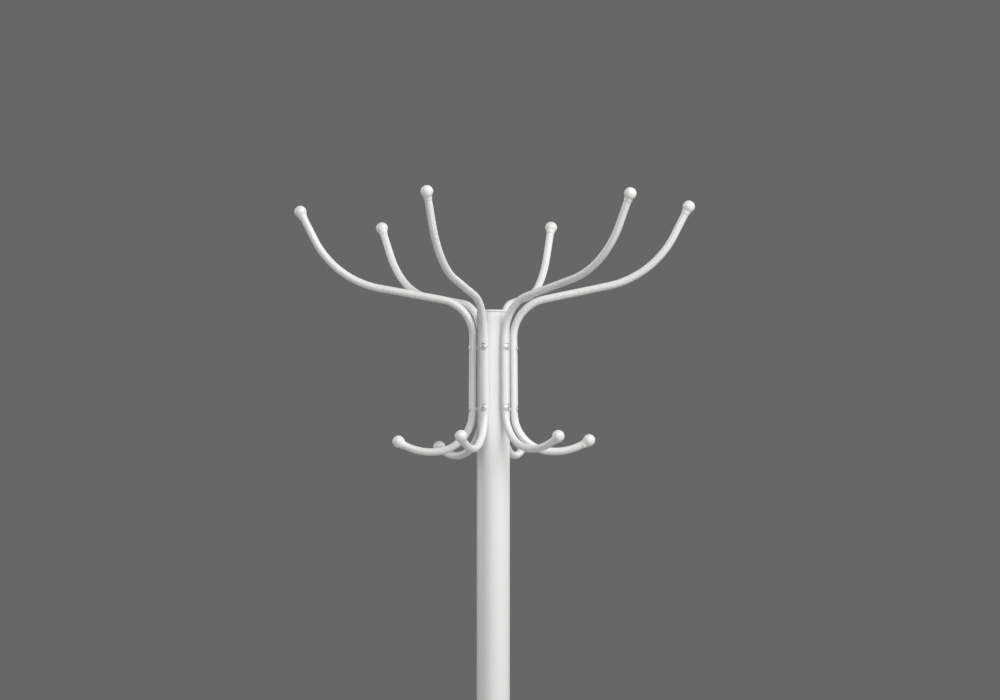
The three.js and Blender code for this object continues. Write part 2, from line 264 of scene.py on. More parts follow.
def add_node(tree, kind, **settings):
    node = tree.nodes.new(kind)
    for key, value in settings.items():
        setattr(node, key, value)
    return node


def add_math(tree, operation, first, second=None, clamp=False):
    node = add_node(tree, "ShaderNodeMath", operation=operation, use_clamp=clamp)
    for socket, value in zip(node.inputs, (first, second)):
        if value is None:
            continue
        if isinstance(value, (int, float)):
            socket.default_value = value
        else:
            tree.links.new(value, socket)
    return node.outputs[0]


def add_noise(tree, coordinates, scale, detail=3.0, roughness=0.5):
    node = add_node(tree, "ShaderNodeTexNoise")
    node.inputs["Detail"].default_value = detail
    node.inputs["Roughness"].default_value = roughness
    if isinstance(scale, (int, float)):
        node.inputs["Scale"].default_value = scale
    else:
        tree.links.new(scale, node.inputs["Scale"])
    tree.links.new(coordinates, node.inputs["Vector"])
    return node.outputs["Fac"]


def add_ramp(tree, value, low, high):
    """Value rescaled so that low gives 0 and high gives 1, smoothly."""
    node = add_node(tree, "ShaderNodeMapRange", interpolation_type="SMOOTHSTEP")
    node.inputs["From Min"].default_value = low
    node.inputs["From Max"].default_value = high
    tree.links.new(value, node.inputs["Value"])
    return node.outputs["Result"]


def orange_peel_group():
    """Fine dimpling of a sprayed or moulded skin, as a height."""
    group, given, result = new_group(
        "OrangePeel",
        [("Scale", "NodeSocketFloat", 420.0), ("Fine Share", "NodeSocketFloat", 0.35)],
        [("Height", "NodeSocketFloat")],
    )
    coordinates = add_node(group, "ShaderNodeTexCoord").outputs["Object"]
    broad = add_noise(group, coordinates, given.outputs["Scale"], detail=1.5)
    fine_scale = add_math(group, "MULTIPLY", given.outputs["Scale"], 3.7)
    fine = add_noise(group, coordinates, fine_scale, detail=2.0)
    fine_part = add_math(group, "MULTIPLY", fine, given.outputs["Fine Share"])
    group.links.new(add_math(group, "ADD", broad, fine_part), result.inputs["Height"])
    return group


def handling_group():
    """Broad soft patches where hands and coats have passed, from 0, clean, to 1."""
    group, given, result = new_group(
        "HandlingMarks",
        [("Scale", "NodeSocketFloat", 14.0), ("Amount", "NodeSocketFloat", 0.5)],
        [("Mask", "NodeSocketFloat"), ("Drift", "NodeSocketFloat")],
    )
    coordinates = add_node(group, "ShaderNodeTexCoord").outputs["Object"]
    scale = given.outputs["Scale"]
    patches = add_ramp(group, add_noise(group, coordinates, scale, detail=5.0, roughness=0.62), 0.44, 0.68)
    smears = add_noise(group, coordinates, add_math(group, "MULTIPLY", scale, 4.0), detail=3.0)
    both = add_math(group, "MULTIPLY", patches, add_ramp(group, smears, 0.3, 0.75))
    mask = add_math(group, "MULTIPLY", both, given.outputs["Amount"], clamp=True)
    group.links.new(mask, result.inputs["Mask"])
    drift = add_noise(group, coordinates, add_math(group, "MULTIPLY", scale, 0.35), detail=2.0)
    group.links.new(drift, result.inputs["Drift"])
    return group


def dust_group():
    """Dust that has settled on faces that look up, from 0 to 1."""
    group, given, result = new_group(
        "SettledDust",
        [("Amount", "NodeSocketFloat", 0.5), ("Scale", "NodeSocketFloat", 60.0)],
        [("Mask", "NodeSocketFloat")],
    )
    coordinates = add_node(group, "ShaderNodeTexCoord").outputs["Object"]
    split = add_node(group, "ShaderNodeSeparateXYZ")
    group.links.new(add_node(group, "ShaderNodeNewGeometry").outputs["Normal"], split.inputs[0])
    facing_up = add_ramp(group, split.outputs["Z"], 0.35, 1.0)
    clumps = add_noise(group, coordinates, given.outputs["Scale"], detail=6.0, roughness=0.7)
    grains = add_ramp(group, add_noise(group, coordinates, 420.0), 0.1, 0.9)
    grains = add_math(group, "MULTIPLY", add_ramp(group, clumps, 0.3, 0.8), grains)
    settled = add_math(group, "MULTIPLY", facing_up, grains)
    mask = add_math(group, "MULTIPLY", settled, given.outputs["Amount"], clamp=True)
    group.links.new(mask, result.inputs["Mask"])
    return group


def scratches_group():
    """Thin hair scratches in random directions, from 0 to 1."""
    group, given, result = new_group(
        "HairScratches",
        [("Scale", "NodeSocketFloat", 40.0), ("Amount", "NodeSocketFloat", 0.5)],
        [("Mask", "NodeSocketFloat")],
    )
    coordinates = add_node(group, "ShaderNodeTexCoord").outputs["Object"]
    warp = add_node(group, "ShaderNodeTexNoise")
    warp.inputs["Scale"].default_value = 6.0
    group.links.new(coordinates, warp.inputs["Vector"])
    bent = add_node(group, "ShaderNodeVectorMath", operation="MULTIPLY_ADD")
    group.links.new(warp.outputs["Color"], bent.inputs[0])
    bent.inputs[1].default_value = (0.02, 0.02, 0.02)
    group.links.new(coordinates, bent.inputs[2])
    lines = []
    for tilt, stretch in ((0.5, 14.0), (2.1, 11.0)):
        turned = add_node(group, "ShaderNodeMapping")
        turned.inputs["Rotation"].default_value = (tilt, 0.4 * tilt, tilt)
        turned.inputs["Scale"].default_value = (stretch, 1.0, 1.0)
        group.links.new(bent.outputs[0], turned.inputs["Vector"])
        noise = add_noise(group, turned.outputs[0], given.outputs["Scale"], detail=2.0)
        off_line = add_math(group, "ABSOLUTE", add_math(group, "SUBTRACT", noise, 0.5))
        lines.append(add_ramp(group, off_line, 0.012, 0.0))
    together = add_math(group, "MAXIMUM", lines[0], lines[1])
    broken = add_ramp(group, add_noise(group, coordinates, 22.0, detail=2.0), 0.52, 0.7)
    together = add_math(group, "MULTIPLY", together, broken)
    mask = add_math(group, "MULTIPLY", together, given.outputs["Amount"], clamp=True)
    group.links.new(mask, result.inputs["Mask"])
    return group


GROUP_BUILDERS = {
    "OrangePeel": orange_peel_group,
    "HandlingMarks": handling_group,
    "SettledDust": dust_group,
    "HairScratches": scratches_group,
}


def use_group(tree, name, **values):
    """Places a shared group, built the first time that it is asked for."""
    group = bpy.data.node_groups.get(name) or GROUP_BUILDERS[name]()
    node = add_node(tree, "ShaderNodeGroup", node_tree=group)
    for key, value in values.items():
        node.inputs[key.replace("_", " ").title()].default_value = value
    return node


# ---------- materials ----------
def mix_colours(tree, mask, first, second):
    """first where mask is 0 and second where it is 1. Each is a colour or a socket."""
    node = add_node(tree, "ShaderNodeMix", data_type="RGBA")
    tree.links.new(mask, node.inputs["Factor"])
    for socket, value in ((node.inputs[6], first), (node.inputs[7], second)):
        if isinstance(value, bpy.types.NodeSocket):
            tree.links.new(value, socket)
        else:
            socket.default_value = (*value, 1.0)
    return node.outputs[2]


def scaled_colour(colour, factor):
    return tuple(min(1.0, channel * factor) for channel in colour)


def raised(tree, base, mask, share, clamp=False):
    """base, a number or a socket, raised by share of mask."""
    return add_math(tree, "ADD", add_math(tree, "MULTIPLY", mask, share), base, clamp)


def add_bump(tree, height, distance, normal=None):
    node = add_node(tree, "ShaderNodeBump")
    node.inputs["Distance"].default_value = distance
    tree.links.new(height, node.inputs["Height"])
    if normal is not None:
        tree.links.new(normal, node.inputs["Normal"])
    return node.outputs["Normal"]


def white_paint(tree, shader):
    """Semi-gloss white powder coat on steel."""
    look = bpy.context.scene.coat_stand_finish
    marks = use_group(tree, "HandlingMarks", scale=13.0, amount=look.wear)
    dust = use_group(tree, "SettledDust", amount=look.dust, scale=55.0)
    scratches = use_group(tree, "HairScratches", scale=34.0, amount=look.wear)
    peel = use_group(tree, "OrangePeel", scale=620.0)
    base = tuple(look.paint_colour)
    warm = (base[0], base[1] * 0.994, base[2] * 0.985)
    drifted = mix_colours(tree, marks.outputs["Drift"], base, warm)
    handled = mix_colours(tree, marks.outputs["Mask"], drifted, scaled_colour(base, 0.95))
    dusty = mix_colours(tree, dust.outputs["Mask"], handled, DUST_COLOUR)
    tree.links.new(dusty, shader.inputs["Base Color"])
    rough = raised(tree, look.paint_roughness, marks.outputs["Mask"], 0.16)
    rough = raised(tree, rough, dust.outputs["Mask"], 0.35)
    rough = raised(tree, rough, scratches.outputs["Mask"], 0.12, clamp=True)
    tree.links.new(rough, shader.inputs["Roughness"])
    skin = add_bump(tree, peel.outputs["Height"], look.peel_depth)
    tree.links.new(add_bump(tree, scratches.outputs["Mask"], -3e-6, skin), shader.inputs["Normal"])


def white_plastic(tree, shader):
    """Moulded white plastic with a faint parting line in the piece's own X = 0 plane."""
    look = bpy.context.scene.coat_stand_finish
    marks = use_group(tree, "HandlingMarks", scale=60.0, amount=look.wear)
    dust = use_group(tree, "SettledDust", amount=look.dust * 0.7, scale=90.0)
    peel = use_group(tree, "OrangePeel", scale=900.0, fine_share=0.5)
    split = add_node(tree, "ShaderNodeSeparateXYZ")
    tree.links.new(add_node(tree, "ShaderNodeTexCoord").outputs["Object"], split.inputs[0])
    parting = add_ramp(tree, add_math(tree, "ABSOLUTE", split.outputs["X"]), 0.16 * MM, 0.05 * MM)
    base = tuple(look.plastic_colour)
    warm = (base[0], base[1] * 0.985, base[2] * 0.95)
    drifted = mix_colours(tree, marks.outputs["Drift"], base, warm)
    handled = mix_colours(tree, marks.outputs["Mask"], drifted, scaled_colour(base, 0.92))
    dusty = mix_colours(tree, dust.outputs["Mask"], handled, DUST_COLOUR)
    tree.links.new(dusty, shader.inputs["Base Color"])
    rough = raised(tree, look.plastic_roughness, marks.outputs["Mask"], 0.2)
    rough = raised(tree, rough, dust.outputs["Mask"], 0.3, clamp=True)
    tree.links.new(rough, shader.inputs["Roughness"])
    skin = add_bump(tree, peel.outputs["Height"], 6e-6)
    tree.links.new(add_bump(tree, parting, 2.5e-5, skin), shader.inputs["Normal"])


def nickel_plate(tree, shader):
    """Bright nickel on turned screw heads, with rings left by the lathe about the piece's own Z axis."""
    scratches = use_group(tree, "HairScratches", scale=220.0, amount=0.8)
    marks = use_group(tree, "HandlingMarks", scale=150.0, amount=0.9)
    split = add_node(tree, "ShaderNodeSeparateXYZ")
    tree.links.new(add_node(tree, "ShaderNodeTexCoord").outputs["Object"], split.inputs[0])
    square_x = add_math(tree, "POWER", split.outputs["X"], 2.0)
    square_y = add_math(tree, "POWER", split.outputs["Y"], 2.0)
    from_axis = add_math(tree, "SQRT", add_math(tree, "ADD", square_x, square_y))
    ring_pitch = 0.16 * MM
    rings = add_math(tree, "SINE", add_math(tree, "MULTIPLY", from_axis, 2 * math.pi / ring_pitch))
    tarnished = mix_colours(tree, marks.outputs["Mask"], (0.74, 0.74, 0.73), (0.62, 0.61, 0.59))
    tree.links.new(tarnished, shader.inputs["Base Color"])
    shader.inputs["Metallic"].default_value = 0.55
    rough = raised(tree, 0.52, marks.outputs["Mask"], 0.12)
    rough = raised(tree, rough, scratches.outputs["Mask"], 0.2, clamp=True)
    tree.links.new(rough, shader.inputs["Roughness"])
    tree.links.new(add_bump(tree, rings, 1e-6), shader.inputs["Normal"])


def zinc_plate(tree, shader):
    """Dull zinc plating with its flaky spangle."""
    coordinates = add_node(tree, "ShaderNodeTexCoord").outputs["Object"]
    flakes = add_node(tree, "ShaderNodeTexVoronoi")
    flakes.inputs["Scale"].default_value = 240.0
    tree.links.new(coordinates, flakes.inputs["Vector"])
    flake_tone = add_node(tree, "ShaderNodeSeparateXYZ")
    tree.links.new(flakes.outputs["Color"], flake_tone.inputs[0])
    marks = use_group(tree, "HandlingMarks", scale=30.0, amount=0.8)
    scratches = use_group(tree, "HairScratches", scale=60.0, amount=0.7)
    spangled = mix_colours(tree, flake_tone.outputs["X"], (0.56, 0.58, 0.60), (0.47, 0.49, 0.52))
    stained = mix_colours(tree, marks.outputs["Mask"], spangled, (0.36, 0.36, 0.35))
    tree.links.new(stained, shader.inputs["Base Color"])
    shader.inputs["Metallic"].default_value = 1.0
    rough = raised(tree, 0.36, flake_tone.outputs["Y"], 0.12)
    rough = raised(tree, rough, marks.outputs["Mask"], 0.2, clamp=True)
    tree.links.new(rough, shader.inputs["Roughness"])
    tree.links.new(add_bump(tree, scratches.outputs["Mask"], -1.5e-5), shader.inputs["Normal"])


def cast_iron(tree, shader):
    """Rough sand-cast iron under a thin dark primer."""
    coordinates = add_node(tree, "ShaderNodeTexCoord").outputs["Object"]
    grit = add_noise(tree, coordinates, 700.0, detail=6.0, roughness=0.7)
    rust = add_ramp(tree, add_noise(tree, coordinates, 45.0, detail=8.0, roughness=0.7), 0.58, 0.7)
    rusty = mix_colours(tree, rust, (0.035, 0.036, 0.038), (0.10, 0.045, 0.022))
    tree.links.new(rusty, shader.inputs["Base Color"])
    tree.links.new(raised(tree, 0.68, rust, 0.2), shader.inputs["Roughness"])
    tree.links.new(add_bump(tree, grit, 2.5e-4), shader.inputs["Normal"])


def grey_rubber(tree, shader):
    """Matt dark grey rubber, dusty and a little scuffed."""
    marks = use_group(tree, "HandlingMarks", scale=35.0, amount=1.0)
    dust = use_group(tree, "SettledDust", amount=0.8, scale=80.0)
    peel = use_group(tree, "OrangePeel", scale=1500.0, fine_share=0.8)
    scuffed = mix_colours(tree, marks.outputs["Mask"], (0.055, 0.055, 0.057), (0.12, 0.118, 0.112))
    dusty = mix_colours(tree, dust.outputs["Mask"], scuffed, (0.30, 0.29, 0.27))
    tree.links.new(dusty, shader.inputs["Base Color"])
    tree.links.new(raised(tree, 0.68, marks.outputs["Mask"], 0.15), shader.inputs["Roughness"])
    tree.links.new(add_bump(tree, peel.outputs["Height"], 5e-5), shader.inputs["Normal"])


def floor_paint(tree, shader):
    """Matt pale floor with faint broad clouds."""
    coordinates = add_node(tree, "ShaderNodeTexCoord").outputs["Object"]
    cloud = add_noise(tree, coordinates, 0.8, detail=4.0)
    clouded = mix_colours(tree, cloud, (0.60, 0.60, 0.59), (0.66, 0.66, 0.65))
    tree.links.new(clouded, shader.inputs["Base Color"])
    shader.inputs["Roughness"].default_value = 0.7


FINISHES = {
    "white_paint": ("White powder coat", white_paint),
    "white_plastic": ("White moulded plastic", white_plastic),
    "nickel_plate": ("Nickel plate", nickel_plate),
    "zinc_plate": ("Zinc plate", zinc_plate),
    "cast_iron": ("Cast iron", cast_iron),
    "rubber": ("Grey rubber", grey_rubber),
    "floor": ("Pale floor", floor_paint),
}


def set_material(piece, finish):
    """Gives a piece its only material, which is built the first time that it is asked for."""
    name, build = FINISHES[finish]
    material = bpy.data.materials.get(name)
    if material is None:
        material = bpy.data.materials.new(name)
        material.use_nodes = True
        build(material.node_tree, material.node_tree.nodes["Principled BSDF"])
    piece.data.materials.clear()
    piece.data.materials.append(material)


# ---------- settings ----------
def length_setting(name, description, millimetres):
    return FloatProperty(name=name, description=description, unit="LENGTH", default=millimetres * MM)


def angle_setting(name, description, degrees):
    return FloatProperty(name=name, description=description, subtype="ANGLE", default=math.radians(degrees))


def share_setting(name, description, default):
    return FloatProperty(name=name, description=description, subtype="FACTOR", min=0, max=1, default=default)


def power_setting(name, description, watts):
    return FloatProperty(name=name, description=description, subtype="POWER", default=watts)


def colour_setting(name, description, default):
    return FloatVectorProperty(
        name=name, description=description, subtype="COLOR", size=3, min=0, max=1, default=default
    )


class CoatStandFinish(bpy.types.PropertyGroup):
    """Colours and wear of the finishes."""

    paint_colour: colour_setting("Paint colour", "Colour of the powder coat", (0.80, 0.80, 0.80))
    plastic_colour: colour_setting("Plastic colour", "Colour of the moulded pieces", (0.82, 0.82, 0.82))
    paint_roughness: share_setting("Paint roughness", "Roughness of clean paint", 0.36)
    plastic_roughness: share_setting("Plastic roughness", "Roughness of clean plastic", 0.3)
    peel_depth: length_setting("Peel depth", "Depth of the powder coat's dimples", 0.006)
    wear: share_setting("Wear", "How much handling shows", 0.35)
    dust: share_setting("Dust", "How much dust has settled on faces that look up", 0.09)


class CoatStandArm(bpy.types.PropertyGroup):
    """Bending plan of an arm's bar, along its centre line."""

    bar_radius: length_setting("Bar radius", "Radius of the bar", 4.3)
    standoff: length_setting("Stand-off", "Gap between bar and pole", 0.6)
    upright_above: length_setting("Upright above", "Straight part above the screws' middle", 47.8)
    upright_below: length_setting("Upright below", "Straight part below the screws' middle", 39.8)
    upright_spread: share_setting("Upright spread", "How much wider the upright is pressed", 0.25)
    spread_fade: length_setting("Spread fade", "Length over which it turns round again", 24)
    shoulder_radius: length_setting("Shoulder radius", "Bend from the upright to the hat hook", 44.5)
    shoulder_turn: angle_setting("Shoulder turn", "Angle of that bend", 79.4)
    shoulder_run: length_setting("Shoulder run", "Straight part after that bend", 74.6)
    hat_radius: length_setting("Hat hook radius", "Bend that turns the hat hook up", 110.6)
    hat_turn: angle_setting("Hat hook turn", "Angle of that bend", 51.9)
    hat_run: length_setting("Hat hook run", "Straight part up to the ball's centre", 36.5)
    coat_radius: length_setting("Coat hook radius", "Bend of the coat hook", 44.5)
    coat_turn: angle_setting("Coat hook turn", "Angle of that bend", 82.5)
    coat_tip_radius: length_setting("Coat tip radius", "Slow bend up to the ball's centre", 67.7)
    coat_tip_turn: angle_setting("Coat tip turn", "Angle of that bend", 42.4)
    end_setback: length_setting("End setback", "Ball's centre to the end of the bar", 3.8)
    seat_depth: length_setting("Seat depth", "Depth of the counterbore under a screw's head", 1.8)
    seat_radius: length_setting("Seat radius", "Radius of that counterbore", 4.4)
    ring_step: length_setting("Ring step", "Spacing of the mesh rings along the bar", 2)
    sides: IntProperty(name="Sides", description="Mesh sides round the bar", min=8, default=28)


class CoatStandBall(bpy.types.PropertyGroup):
    """The balls on the arm ends."""

    radius: length_setting("Radius", "Radius of a ball", 7.1)
    neck_radius: length_setting("Neck radius", "Radius of the neck's mouth", 4.8)
    neck_fillet: length_setting("Neck fillet", "Hollow between neck and ball", 6.5)
    neck_reach: length_setting("Neck reach", "Ball's centre to the neck's mouth", 9)


class CoatStandScrew(bpy.types.PropertyGroup):
    """The screws that hold the arms."""

    head_radius: length_setting("Head radius", "Radius of the head", 4.1)
    head_height: length_setting("Head height", "Height of the dome", 2)
    shank_radius: length_setting("Shank radius", "Radius of the thread", 2)
    slot_width: length_setting("Slot width", "Width of the cross recess's arms", 0.6)
    slot_span: length_setting("Slot span", "Tip to tip of the cross recess", 3)


class CoatStandStage(bpy.types.PropertyGroup):
    """Camera and lights."""

    camera_distance: length_setting("Camera distance", "From the pole's axis, level", 6700)
    camera_drop: length_setting("Camera drop", "Camera's height below the pole's top", 589)
    lens: FloatProperty(name="Lens", description="Focal length", unit="CAMERA", default=210.0)
    tilt: angle_setting("Tilt", "How far the camera looks up", 4.64)
    pan: angle_setting("Pan", "How far it looks to the right of the pole", 0.066)
    key_power: power_setting("Key light", "Power of the key light in watts", 90.0)
    front_power: power_setting("Front light", "Power of the front light in watts", 37.0)
    left_rim_power: power_setting("Left rim light", "Power of the left rim light in watts", 33.0)
    right_rim_power: power_setting("Right rim light", "Power of the right rim light in watts", 18.0)
    backdrop_grey: share_setting("Backdrop grey", "Brightness of the surroundings", 0.135)


# ---------- the pole ----------
class COATSTAND_OT_pole(bpy.types.Operator):
    """Build the three tube sections of the pole"""

    bl_idname = "coatstand.pole"
    bl_label = "Pole sections"

    def execute(self, context):
        wall = 1.5 * MM
        edge = 0.35 * MM
        for node in POLE_SECTIONS:
            outer = node_radius(node)
            bottom, top = node_bottom(node), node_top(node)
            corners = [
                (outer - wall, bottom, edge),
                (outer, bottom, edge),
                (outer, top, edge),
                (outer - wall, top, edge),
            ]
            place_turned(node + "_tube", rounded_outline(corners, 4), POLE_SIDES, "white_paint", node)
        return {"FINISHED"}


class COATSTAND_OT_cap(bpy.types.Operator):
    """Build the push-in cap on the pole's top"""

    bl_idname = "coatstand.cap"
    bl_label = "Pole cap"

    def execute(self, context):
        radius, top, bottom = node_radius("pole_cap"), node_top("pole_cap"), node_bottom("pole_cap")
        flange, wall = 2.2 * MM, 1.8 * MM
        skirt = radius - 2.1 * MM
        # The shallow round mark that moulding leaves in the middle of the cap.
        mark, mark_radius = top - 0.25 * MM, 1.6 * MM
        outline = [Vector((0, mark)), Vector((mark_radius, mark)), Vector((mark_radius + 0.3 * MM, top))]
        rim = rounded_outline(
            [
                (2.2 * MM, top, 0),
                (radius, top, 0.7 * MM),
                (radius, top - flange, 0.2 * MM),
                (skirt, top - flange, 0.2 * MM),
                (skirt, bottom, 0.3 * MM),
                (skirt - wall, bottom, 0.3 * MM),
                (skirt - wall, top - flange, 0.3 * MM),
                (0, top - flange, 0),
            ]
        )
        outline += rim
        place_turned("pole_cap_moulding", outline, POLE_SIDES, "white_plastic", "pole_cap", closed=False)
        return {"FINISHED"}


# ---------- the arms ----------
class BendLine:
    """Centre line of a bar, drawn as runs and bends in one plane. x points outwards and z up."""

    def __init__(self, z, heading, step):
        self.points = [Vector((0, 0, z))]
        self.heading = heading
        self.step = step

    def direction(self):
        return Vector((math.cos(self.heading), 0, math.sin(self.heading)))

    def run(self, distance):
        count = max(1, round(distance / self.step))
        start = self.points[-1]
        for index in range(1, count + 1):
            self.points.append(start + self.direction() * (distance * index / count))
        return self

    def bend(self, radius, turn):
        count = max(2, round(abs(turn) * radius / self.step))
        side = math.copysign(1, turn)
        start_angle = self.heading - side * math.pi / 2
        centre = self.points[-1] - radius * Vector((math.cos(start_angle), 0, math.sin(start_angle)))
        for index in range(1, count + 1):
            angle = start_angle + turn * index / count
            self.points.append(centre + radius * Vector((math.cos(angle), 0, math.sin(angle))))
        self.heading += turn
        return self


def arm_lines(plan):
    """The coat hook's and the hat hook's centre lines, each from the upright to its ball's centre."""
    coat = BendLine(-plan.upright_below, -math.pi / 2, plan.ring_step)
    coat.bend(plan.coat_radius, plan.coat_turn).bend(plan.coat_tip_radius, plan.coat_tip_turn)
    hat = BendLine(-plan.upright_below, math.pi / 2, plan.ring_step)
    hat.run(plan.upright_below + plan.upright_above)
    hat.bend(plan.shoulder_radius, -plan.shoulder_turn).run(plan.shoulder_run)
    hat.bend(plan.hat_radius, plan.hat_turn).run(plan.hat_run)
    return coat, hat


def arm_frame(plan, arm, heading, lean):
    """Matrix that places an arm's own plane. Its origin is on the upright, midway between the screws."""
    upper, _ = screw_frame("upper", arm)
    lower, _ = screw_frame("lower", arm)
    middle = (upper.translation + lower.translation) / 2
    outwards = upper.col[2].xyz
    upright = node_radius("pole_middle_section") + plan.standoff + plan.bar_radius
    return (
        Matrix.Translation(middle + outwards * upright)
        @ Matrix.Rotation(math.radians(heading), 4, "Z")
        @ Matrix.Rotation(-math.radians(lean), 4, "Y")
    )


def upright_share(plan, height):
    """1 along the upright, and fading to 0 around its two ends."""
    half_fade = plan.spread_fade / 2
    from_end = min(plan.upright_above - height, height + plan.upright_below)
    share = min(1, max(0, (from_end + half_fade) / plan.spread_fade))
    return share * share * (3 - 2 * share)


def trimmed(points, setback):
    """points without the last setback of length."""
    left = setback
    kept = list(points)
    while (kept[-1] - kept[-2]).length < left:
        left -= (kept[-1] - kept[-2]).length
        kept.pop()
    kept[-1] = kept[-1].lerp(kept[-2], left / (kept[-1] - kept[-2]).length)
    return kept


def seat_cutter(plan, row, arm):
    """A short plug that cuts the counterbore for one screw's head."""
    matrix, _ = screw_frame(row, arm)
    seat = node_radius("pole_middle_section") + plan.standoff + 2 * plan.bar_radius - plan.seat_depth
    clear = seat + 5 * MM
    corners = [(0, seat, 0), (plan.seat_radius, seat, 0.2 * MM), (plan.seat_radius, clear, 0), (0, clear, 0)]
    mesh = revolve("seat_cutter", rounded_outline(corners, 3), 40, closed=False)
    cutter = new_object("seat_cutter", mesh)
    cutter.matrix_world = matrix
    return cutter


def check_against_cad(piece, node, slack=1.5 * MM):
    """Stops the script if a new piece strays from the CAD node that it stands for."""
    low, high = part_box(node)
    corners = [piece.matrix_world @ vertex.co for vertex in piece.data.vertices]
    for axis in range(3):
        values = [corner[axis] for corner in corners]
        if abs(min(values) - low[axis]) > slack or abs(max(values) - high[axis]) > slack:
            raise ValueError(f"{piece.name} strays from {node} along {'xyz'[axis]}")


class COATSTAND_OT_arms(bpy.types.Operator):
    """Build the six bent arms"""

    bl_idname = "coatstand.arms"
    bl_label = "Arms"

    def execute(self, context):
        plan = context.scene.coat_stand_arm
        coat, hat = arm_lines(plan)
        local = list(reversed(trimmed(coat.points, plan.end_setback)))
        local += trimmed(hat.points, plan.end_setback)[1:]
        spreads = [1 + plan.upright_spread * upright_share(plan, point.z) for point in local]
        for arm, heading, lean in ARMS:
            matrix = arm_frame(plan, arm, heading, lean)
            points = [matrix @ point for point in local]
            across = matrix.to_3x3() @ Vector((0, 1, 0))
            name = f"arm_{arm}_bar"
            piece = new_object(name, sweep(name, points, across, plan.bar_radius, spreads, plan.sides))
            cut_away(piece, [seat_cutter(plan, row, arm) for row in SCREW_ROWS])
            check_against_cad(piece, f"arm_{arm}")
            place(piece, "white_paint", f"arm_{arm}")
        return {"FINISHED"}


# ---------- the balls ----------
def ball_mesh(plan, ball):
    """One ball about its own centre, with its neck and bore towards -Z."""
    fillet_axis = ball.neck_radius + ball.neck_fillet
    fillet_height = -math.sqrt((ball.radius + ball.neck_fillet) ** 2 - fillet_axis**2)
    meeting = math.atan2(fillet_height, fillet_axis)
    bore = plan.bar_radius + 0.1 * MM
    bore_end = -plan.end_setback + 0.3 * MM
    mouth = -ball.neck_reach
    outline = [Vector((0, bore_end)), Vector((bore, bore_end))]
    lip = [(bore, mouth, 0), (ball.neck_radius, mouth, 0.1 * MM), (ball.neck_radius, mouth / 2, 0)]
    outline += rounded_outline(lip, 3)[:-1]
    steps = 10
    for step in range(steps):
        angle = math.pi + meeting * step / steps
        spoke = Vector((math.cos(angle), math.sin(angle)))
        outline.append(Vector((fillet_axis, fillet_height)) + ball.neck_fillet * spoke)
    steps = 22
    for step in range(steps):
        angle = meeting + (math.pi / 2 - meeting) * step / steps
        outline.append(Vector((ball.radius * math.cos(angle), ball.radius * math.sin(angle))))
    outline.append(Vector((0, ball.radius)))
    return revolve("arm_ball", outline, 48, closed=False)


class COATSTAND_OT_balls(bpy.types.Operator):
    """Build the balls on the twelve arm ends"""

    bl_idname = "coatstand.balls"
    bl_label = "Balls"

    def execute(self, context):
        plan = context.scene.coat_stand_arm
        mesh = ball_mesh(plan, context.scene.coat_stand_ball)
        for arm, heading, lean in ARMS:
            matrix = arm_frame(plan, arm, heading, lean)
            for hook, line in zip(("coat", "hat"), arm_lines(plan)):
                node = f"{hook}_ball_{arm}"
                piece = new_object(node + "_moulding", mesh)
                turn = line.direction().to_track_quat("Z", "Y").to_matrix().to_4x4()
                piece.matrix_world = matrix @ Matrix.Translation(line.points[-1]) @ turn
                bpy.context.view_layer.update()
                check_against_cad(piece, node)
                place(piece, "white_plastic", node)
        return {"FINISHED"}


# ---------- the screws ----------
def recess_wing(screw, turn):
    """One of the two crossed wedges that cut the recess, wide at the top and narrow at its floor."""
    top, floor = 0.4 * MM, -1.5 * MM
    floor_span, floor_width = 0.55, 0.7  # shares of the recess's size at the top
    half_span, half_width = screw.slot_span / 2, screw.slot_width / 2
    profile = (
        (-half_span, half_width, top),
        (half_span, half_width, top),
        (floor_span * half_span, floor_width * half_width, floor),
        (-floor_span * half_span, floor_width * half_width, floor),
    )
    work = bmesh.new()
    near, far = ([work.verts.new((x, side * y, z)) for x, y, z in profile] for side in (-1, 1))
    work.faces.new(near)
    work.faces.new(far)
    for index in range(4):
        after = (index + 1) % 4
        work.faces.new((near[index], near[after], far[after], far[index]))
    mesh = bpy.data.meshes.new("recess_wing")
    work.to_mesh(mesh)
    work.free()
    cutter = new_object("recess_wing", finish_mesh(mesh))
    cutter.matrix_world = Matrix.Rotation(turn, 4, "Z")
    return cutter


def screw_mesh(screw, shank_length):
    """One dome-head screw. The dome's top is at the origin and the shank runs down -Z."""
    seat = -screw.head_height
    dome_share = 0.78  # of the head's height, above a straight rim
    dome_rise = dome_share * screw.head_height
    dome_radius = (screw.head_radius**2 + dome_rise**2) / (2 * dome_rise)
    dome_angle = math.asin(screw.head_radius / dome_radius)
    outline = []
    steps = 10
    for step in range(steps + 1):
        turn = dome_angle * step / steps
        outline.append(Vector((dome_radius * math.sin(turn), dome_radius * (math.cos(turn) - 1))))
    rim = rounded_outline(
        [
            (screw.head_radius, -dome_rise, 0),
            (screw.head_radius, seat, 0.15 * MM),
            (screw.shank_radius, seat, 0),
            (screw.shank_radius, seat - shank_length, 0.4 * MM),
            (0, seat - shank_length, 0),
        ],
        3,
    )
    blank = new_object("screw_blank", revolve("screw", outline + rim[1:], 48, closed=False))
    cut_away(blank, [recess_wing(screw, turn) for turn in (0, math.pi / 2)])
    finished = blank.data
    bpy.data.objects.remove(blank)
    finished.name = "screw"
    return finished


